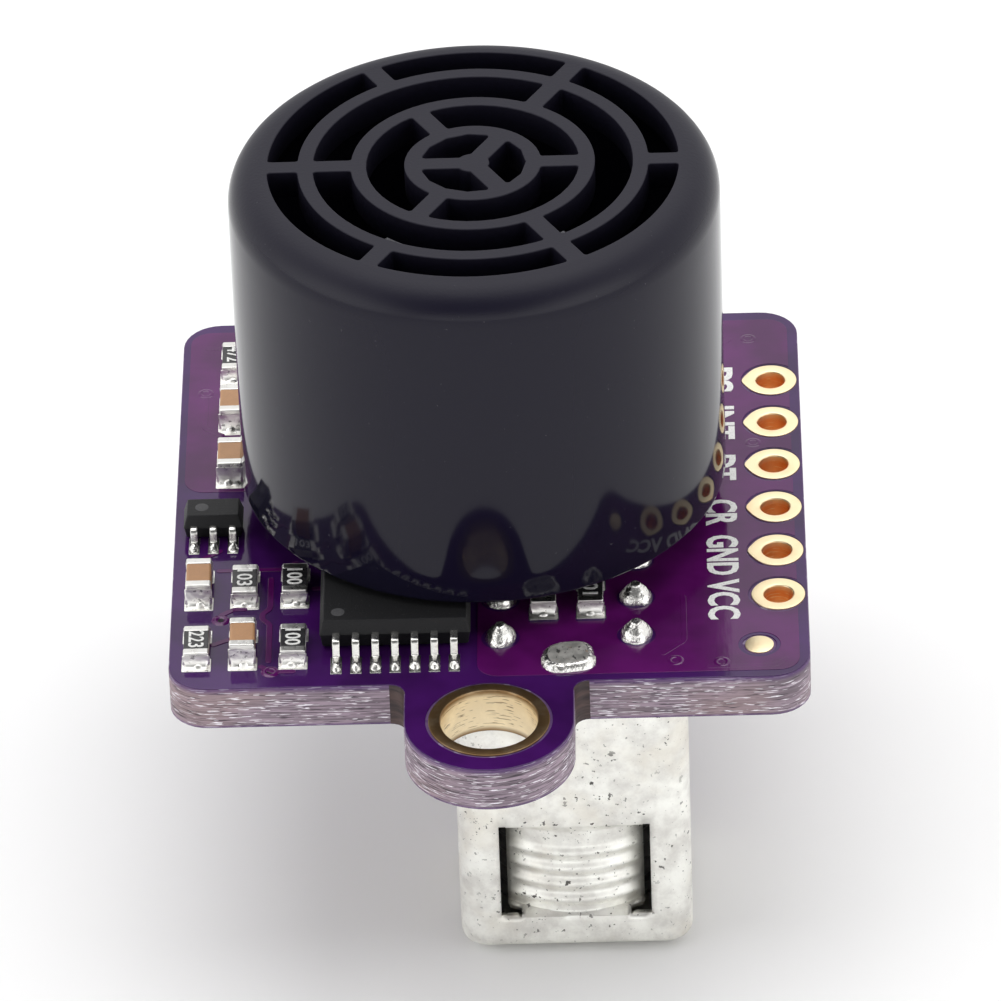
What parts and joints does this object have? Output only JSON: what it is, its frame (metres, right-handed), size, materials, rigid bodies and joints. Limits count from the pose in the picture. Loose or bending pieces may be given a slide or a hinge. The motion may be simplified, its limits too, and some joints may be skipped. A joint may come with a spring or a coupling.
{
  "type": "ultrasonic distance sensor",
  "caption": "Ultrasonic distance sensor: a tall round transducer on a small circuit board with two screw ears and a header row, with a canned tuning transformer below.",
  "frame": {"origin": "centre of the transducer's slotted outer face, the plane that distance is measured from", "axes": "+Z out of the transducer, the way it senses; +X towards the header holes; -Y towards the front screw ear"},
  "size_m": [0.0212, 0.0314, 0.0251],
  "materials": {
    "board": "glossy violet solder mask over glass-fibre laminate",
    "gold": "pale gold immersion plating on copper",
    "housing": "glossy moulded black",
    "moulding": "moulded phenolic, matt",
    "tin": "bright tin solder",
    "can": "bright tinned sheet, faintly mottled",
    "rubber": "soft silicone, matt",
    "piezo": "fired ceramic with silvered faces",
    "aluminium": "pressed, satin",
    "copper": "enamelled copper",
    "ferrite": "sintered, dark grey",
    "chip": "moulded epoxy, fine grained",
    "resistor": "black glaze with tinned ends",
    "capacitor": "tan fired ceramic with tinned ends",
    "tantalum": "moulded yellow epoxy",
    "crystal": "plated lid"
  },
  "bodies": {
    "sensor": {"amplifier_chip": "chip", "capacitor_1": "capacitor", "capacitor_2": "capacitor", "capacitor_3": "capacitor", "capacitor_4": "capacitor", "capacitor_5": "capacitor", "capacitor_6": "capacitor", "capacitor_7": "capacitor", "circuit_board": "board", "coil_winding": "copper", "controller_chip": "chip", "crystal": "crystal", "cushion_ring": "rubber", "diaphragm": "aluminium", "driver_chip": "chip", "drum_core": "ferrite", "front_ear_eyelet": "gold", "front_lug_solder": "tin", "header_eyelet_1": "gold", "header_eyelet_2": "gold", "header_eyelet_3": "gold", "header_eyelet_4": "gold", "header_eyelet_5": "gold", "header_eyelet_6": "gold", "lead_wire_left": "copper", "lead_wire_right": "copper", "piezo_disc": "piezo", "radiating_cone": "aluminium", "rear_ear_eyelet": "gold", "rear_lug_solder": "tin", "resistor_1": "resistor", "resistor_2": "resistor", "resistor_3": "resistor", "resistor_4": "resistor", "resistor_5": "resistor", "resistor_6": "resistor", "resistor_7": "resistor", "tantalum_capacitor": "tantalum", "test_pad": "gold", "transducer_housing": "housing", "transducer_pin_left": "tin", "transducer_pin_right": "tin", "transducer_plug": "moulding", "transformer_can": "can", "transformer_former": "moulding", "transformer_pin_1": "tin", "transformer_pin_2": "tin", "transformer_pin_3": "tin", "transformer_pin_4": "tin", "transformer_pin_5": "tin", "transformer_pin_6": "tin"},
    "core": {"tuning_core": "ferrite"}
  },
  "joints": [
    {"name": "core_turn", "type": "hinge", "parent": "sensor", "child": "core", "pos_m": [0.00277, -0.00615, -0.02], "axis": [0, 0, 1], "range_deg": [-330, 330]}
  ]
}
